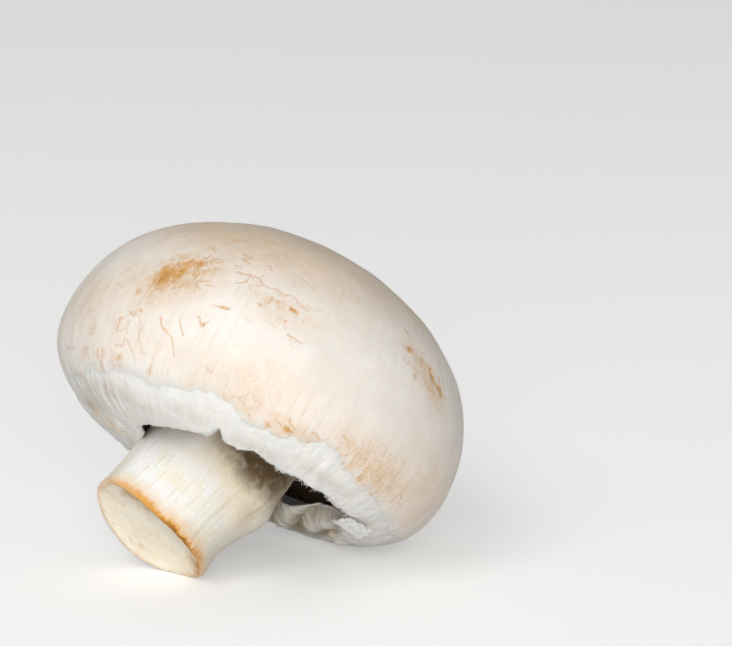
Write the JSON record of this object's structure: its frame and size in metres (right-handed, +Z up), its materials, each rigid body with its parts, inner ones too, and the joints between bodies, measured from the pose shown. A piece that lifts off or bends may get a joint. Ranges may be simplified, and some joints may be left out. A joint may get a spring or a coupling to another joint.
{
  "type": "button mushroom",
  "caption": "White button mushroom lying on its side, domed cap over a gilled hollow, torn veil, short bent stem with a cut end.",
  "frame": {"origin": "on the table under the middle of the mushroom's bounding box", "axes": "+Z up from the table; +X to the right and +Y away as the mushroom is seen first, with its cut stem to the left and towards the viewer"},
  "size_m": [0.0496, 0.051, 0.042],
  "materials": {
    "cap_skin": "smooth warm off-white mushroom skin, satin, with orange-brown bruises",
    "gill_flesh": "matt dark brown gill flesh",
    "stem_flesh": "matt cream fibrous flesh, orange-brown at the cut rim",
    "veil_membrane": "matt cottony bluish-white membrane"
  },
  "bodies": {
    "root": {"cap": "cap_skin", "gills": "gill_flesh", "stem": "stem_flesh", "veil": "veil_membrane"}
  },
  "joints": []
}
